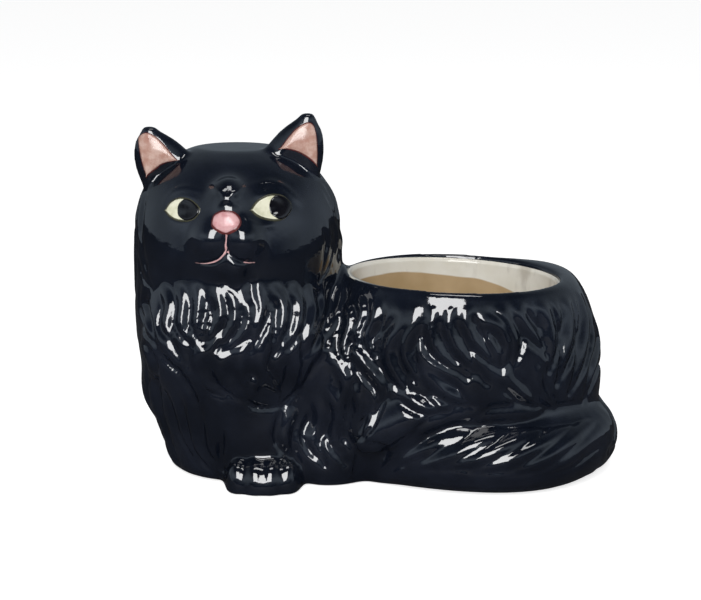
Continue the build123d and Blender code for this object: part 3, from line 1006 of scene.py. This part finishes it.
# Each piece of the skin: its name, its node, and the middle of the joint to which its hidden faces run
SKIN_PIECES = (
    ("torso", "torso_shell", None),
    ("head", "head_shell", (CHEST_X, CHEST_Y, SEAM)),
    ("tail_fur", "tail", None),
    ("forepaw_toes", "left_forepaw", (PAW_X, -36.0, 8.0)),
    ("hindfoot_fur", "left_hindfoot", (22.0, -44.0, 40.0)),
    ("ear_right", "right_ear", (-111.0, EAR_Y, 165.0)),
    ("ear_left", "left_ear", (-55.5, EAR_Y, 165.0)),
)

# The rooms in which the skin of the tail, the paw and the hind foot can lie
TAIL_ROOM = ((-5, -FAR, -FAR), (FAR, FAR, 46))
PAW_ROOM = ((-92, -FAR, -FAR), (-38, -38, 21))
HINDFOOT_ROOM = ((-20, -FAR, -FAR), (58, -38, FAR))
PAW_RING = (-50.0, 24.0)


def within(spots, low, high):
    """Whether each spot lies between two corners."""
    return ((spots > low) & (spots < high)).all(1)


def sort_skin(spots):
    """Which piece each face of the skin belongs to, by the form that it lies on."""
    x, y, z = spots.T
    body = np.minimum.reduce([form[2](x, y, z) for form in (CHEST_FORM, POT_FORM, WAIST_FORM)])
    head = HEAD_FORM[2](x, y, z)
    tail = TAIL_FORM[2](x, y, z)
    paw = PAW_FORM[2](x, y, z)
    hindfoot = FOOT_FORM[2](x, y, z)
    label = np.where((z > SEAM) & (x < CHEST_X + HEAD_REACH), HEAD, TORSO)
    label[(tail < body) & within(spots, *TAIL_ROOM)] = TAIL
    middle, radius = PAW_RING
    on_paw = np.minimum(paw, np.hypot(x - PAW_X, y - middle) - radius) < body
    label[on_paw & (paw < 2.5) & within(spots, *PAW_ROOM)] = PAW
    label[(hindfoot < np.minimum(body, tail)) & within(spots, *HINDFOOT_ROOM)] = HINDFOOT
    for code, side in ((RIGHT_EAR, "right"), (LEFT_EAR, "left")):
        label[(ear_form(side)[2](x, y, z) < head + 0.6) & (z > EAR_ROOT - 6)] = code
    return label


def core(code, spots):
    """Points inside a joint, to which the hidden faces between two pieces run."""
    if code == TAIL:
        return TAIL_LINE[np.linalg.norm(TAIL_LINE[:, None] - spots[None], axis=2).argmin(0)]
    return np.tile(SKIN_PIECES[code][2], (len(spots), 1))


def part_skin():
    """Cuts the skin into its pieces, closes each inside the joints and dresses them in black glaze."""
    whole_normals = skin_normals(len(points), points, faces)
    label = sort_skin(points[faces].mean(1))
    edges = np.concatenate([faces[:, [i, (i + 1) % 4]] for i in range(4)])
    owner = np.tile(label, 4)
    key = edges.min(1).astype(np.int64) * len(points) + edges.max(1)
    order = np.argsort(key, kind="stable")
    twin = key[order][:-1] == key[order][1:]
    pair, mate = order[:-1][twin], order[1:][twin]
    split = owner[pair] != owner[mate]
    mine = np.concatenate([pair[split], mate[split]])
    other = np.concatenate([mate[split], pair[split]])
    joints = np.maximum(owner[mine], owner[other])
    for code, (name, node, _) in enumerate(SKIN_PIECES):
        used, index = np.unique(faces[label == code], return_inverse=True)
        number = np.full(len(points), -1)
        number[used] = np.arange(len(used))
        verts = [points[used]]
        out = [whole_normals[used]]
        quads = index.reshape(-1, 4).tolist()
        count = len(used)
        for joint in np.unique(joints[owner[mine] == code]):
            ends = edges[mine[(owner[mine] == code) & (joints == joint)]]
            ring = np.unique(ends)
            place = np.full(len(points), -1)
            place[ring] = count + np.arange(len(ring))
            quads += [(number[b], number[a], place[a], place[b]) for a, b in ends.tolist()]
            verts.append(core(joint, points[ring]))
            out.append(whole_normals[ring])
            count += len(ring)
        dress(name, np.concatenate(verts), quads, node, BLACK, np.concatenate(out))


part_skin()

# How deep the painted fields reach into the clay
DECAL_ROOT = 0.6


def outline(corners, count=72):
    """A closed line through corners, rounded between them. A corner given twice stays sharp."""
    loop = np.array(corners, float)
    table = np.concatenate([loop[-1:], loop, loop[:2]])
    spots = np.linspace(0, len(loop), count, endpoint=False)
    return along(table, (spots + 1) / (len(table) - 1))


def decal(name, corners, node, lift, edge, slot, material, rings=10):
    """A field of coloured glaze laid on the clay within an outline of pixels, with a thin raised body.
    Lift is its height in the middle and edge the height at its outline."""
    loop = outline(corners)
    middle = loop.mean(0)
    n = len(loop)
    shares = np.linspace(1, 0, rings, endpoint=False)
    flat = np.concatenate([middle + (loop - middle) * share for share in shares] + [middle[None]])
    share = np.append(np.repeat(shares, n), 0.0)
    base = onto_clay(clay, flat)
    out = clay.slope(base)
    rise = edge + (lift - edge) * np.sqrt(np.maximum(1 - share**2, 0))
    polys = []
    for ring in range(rings - 1):
        a, b = ring * n, (ring + 1) * n
        polys += [(a + i, a + (i + 1) % n, b + (i + 1) % n, b + i) for i in range(n)]
    a, last, count = (rings - 1) * n, rings * n, rings * n + 1
    polys += [(a + i, a + (i + 1) % n, last) for i in range(n)]
    polys += [tuple(count + v for v in reversed(poly)) for poly in polys]
    polys += [(i, count + i, count + (i + 1) % n, (i + 1) % n) for i in range(n)]
    verts = np.concatenate([base + out * rise[:, None], base - out * DECAL_ROOT])
    return dress(name, verts, polys, node, material)


def painted_line(name, strokes, material, steps=40, sides=10):
    """Brush lines on the clay, as thin raised ribbons that taper to their ends."""
    verts, polys = [], []
    t = np.linspace(0, 1, steps)
    for width, pixels, ends in strokes:
        base = onto_clay(clay, along(pixels, t))
        out = clay.slope(base)
        side = unit(np.cross(np.gradient(base, axis=0), out))
        half = width * 0.5 * np.minimum(smooth_step(t, -0.05, ends[0]), smooth_step(1 - t, -0.05, ends[1]))
        starts = [(len(verts) + j) * steps for j in range(sides)]
        for turn in np.linspace(0, 2 * math.pi, sides, endpoint=False):
            verts.append(base + side * (half * math.cos(turn))[:, None] + out * (0.1 + 0.35 * math.sin(turn)))
        for a, b in zip(starts, starts[1:] + starts[:1]):
            polys += [(a + i, a + i + 1, b + i + 1, b + i) for i in range(steps - 1)]
        polys += [tuple(starts), tuple(start + steps - 1 for start in reversed(starts))]
    return dress(name, np.concatenate(verts), polys, None, material)


def both_decals(name, right, left, node, *look):
    """The same field on both sides of the face. Name and node hold a star where the side is said."""
    for side, corners in (("right", right), ("left", left)):
        decal(name.replace("*", side), corners, node and node.replace("*", side), *look)


both_decals("*_eye_rim", RIGHT_EYE_RIM, LEFT_EYE_RIM, None, 0.45, 0.1, "eye_glaze", OLIVE)
both_decals("eye_*", RIGHT_EYE, LEFT_EYE, "*_eye", 0.8, 0.3, "eye_glaze", EYE_GLAZE)
both_decals("pupil_*", RIGHT_PUPIL, LEFT_PUPIL, "*_pupil", 1.2, 0.7, "pupil_glaze", PUPIL)
decal("nose_rim", NOSE_RIM, None, 1.2, 0.15, "nose_glaze", MAROON)
decal("nose_button", NOSE_SHAPE, "nose", 2.6, 0.5, "nose_glaze", NOSE)
both_decals("ear_field_*_rim", RIGHT_EAR_RIM, LEFT_EAR_RIM, None, 0.2, 0.1, "pink_glaze", MAROON)
both_decals("ear_field_*", RIGHT_EAR_FIELD, LEFT_EAR_FIELD, "*_ear_lining", 0.6, 0.35, "pink_glaze", PINK)
painted_line("mouth_line", MOUTH, MOUTH_GLAZE)


def make_well():
    """The cream cup inside the rim: its visible face, a thin lip and a body behind it."""
    turns, levels = 144, 40
    slope = math.tan(math.radians(RIM_TILT))
    back_floor = CUP_FLOOR - CUP_FLOOR_WALL
    angles = np.linspace(0, 2 * math.pi, turns, endpoint=False)
    up = np.linspace(0, 1, levels)
    halves = along(CUP_SHARES, up * CUP_TOP_SHARE) * (CUP_LENGTH / 2, CUP_DEPTH / 2)
    walls = []
    for inset, floor, order in ((CUP_WALL, CUP_FLOOR, 1), (CUP_BACK, back_floor, -1)):
        x = POT_X + (halves[:, :1] - inset) * np.cos(angles)
        y = POT_Y + (halves[:, 1:] - inset) * np.sin(angles)
        top = RIM_HEIGHT - (x - POT_X) * slope - CUP_DROP
        wall = np.stack([x, y, floor + (top - floor) * up[:, None]], 2)
        walls.append(wall[::order].reshape(-1, 3))
    verts = np.concatenate([*walls, [[POT_X, POT_Y, CUP_FLOOR], [POT_X, POT_Y, back_floor]]])
    polys = []
    rows = 2 * levels
    for k in range(rows - 1):
        a, b = k * turns, (k + 1) * turns
        polys += [(a + i, b + i, b + (i + 1) % turns, a + (i + 1) % turns) for i in range(turns)]
    last = (rows - 1) * turns
    polys += [(i, (i + 1) % turns, len(verts) - 2) for i in range(turns)]
    polys += [(last + (i + 1) % turns, last + i, len(verts) - 1) for i in range(turns)]
    return dress("well", verts, polys, "well_cup", CREAM)


make_well()
base = bpy.data.objects["base_slab"]
base.data.materials.clear()
base.data.materials.append(BISQUE)


class Room(Paint):
    """The nodes of the world."""

    def __init__(self, tree):
        self.tree = tree


FLOOR_REACH = 6.0
FLOOR_DROP = 0.0004
FLOOR_GLOW = 0.75
ROOM_LIGHT = 0.2
BOX_TARGET = (0.0, 0.0, 0.08)

# Name, place and size in metres, and radiance of each soft box
SOFT_BOXES = (
    ("key_box", (-0.15, -1.55, 0.95), (0.80, 1.00), 10.0),
    ("top_box", (0.10, -0.45, 1.45), (0.70, 0.24), 6.0),
)


def aim(obj, place, target):
    """Puts a lamp or the camera in its place and turns it toward its target."""
    obj.location = Vector(place)
    obj.rotation_euler = (Vector(target) - Vector(place)).to_track_quat("-Z", "Y").to_euler()
    bpy.context.scene.collection.objects.link(obj)


def lay_floor():
    """The white paper under the planter, dark where the glaze mirrors it."""
    mesh = bpy.data.meshes.new("floor")
    sides = ((-1, -1), (1, -1), (1, 1), (-1, 1))
    corners = [(x * FLOOR_REACH, y * FLOOR_REACH, -FLOOR_DROP) for x, y in sides]
    mesh.from_pydata(corners, [], [(0, 1, 2, 3)])
    floor = bpy.data.objects.new("floor", mesh)
    bpy.context.scene.collection.objects.link(floor)
    paper = Paint("floor paper", (0.93, 0.93, 0.93), 0.9)
    mirrored = paper.node("LightPath", output=3)
    paper.use("Base Color", paper.blend(mirrored, (0.93, 0.93, 0.93), (0.05, 0.05, 0.055)))
    seen = paper.node("LightPath")
    paper.use("Emission Color", paper.blend(seen, (0.0, 0.0, 0.0), (1.0, 1.0, 1.0)))
    paper.shader.inputs["Emission Strength"].default_value = FLOOR_GLOW
    mesh.materials.append(paper.material)


def light_room():
    """White to the camera, a soft grey light on the planter, and a darker room in its reflections."""
    world = bpy.data.worlds.new("studio")
    bpy.context.scene.world = world
    world.use_nodes = True
    room = Room(world.node_tree)
    aside, ahead, above = room.parts(room.node("TexCoord"))
    front = 1.0 - ahead.band(-0.7, 0.1)
    glow = front * above.band(0.05, 0.35) * (1.0 - above.band(0.35, 0.7)) * 0.5
    sheen = ahead.band(-0.1, 0.9) * 0.22 + glow + (aside * aside).band(0.35, 1.0) * 0.35 + 0.03
    to_camera = room.node("LightPath")
    to_gloss = room.node("LightPath", output=3)
    background = world.node_tree.nodes["Background"]
    on_planter = room.pick(to_gloss, ROOM_LIGHT, sheen)
    room.feed(background.inputs["Strength"], room.pick(to_camera, on_planter, 1.0))
    room.feed(background.inputs["Color"], room.blend(to_gloss, (1.0, 1.0, 1.0), (0.74, 0.87, 1.0)))


def hang_boxes():
    """The soft boxes, all aimed at the middle of the planter."""
    for name, place, size, radiance in SOFT_BOXES:
        lamp = bpy.data.lights.new(name, "AREA")
        lamp.shape = "RECTANGLE"
        lamp.size, lamp.size_y = size
        lamp.energy = radiance * math.pi * size[0] * size[1]
        aim(bpy.data.objects.new(name, lamp), place, BOX_TARGET)


def set_camera():
    """The camera of the photograph."""
    lens = bpy.data.cameras.new("camera")
    lens.lens = LENS
    lens.sensor_width = SENSOR
    camera = bpy.data.objects.new("camera", lens)
    aim(camera, EYE * MM, TARGET * MM)
    bpy.context.scene.camera = camera
    bpy.context.scene.view_settings.view_transform = "Standard"


lay_floor()
light_room()
hang_boxes()
set_camera()
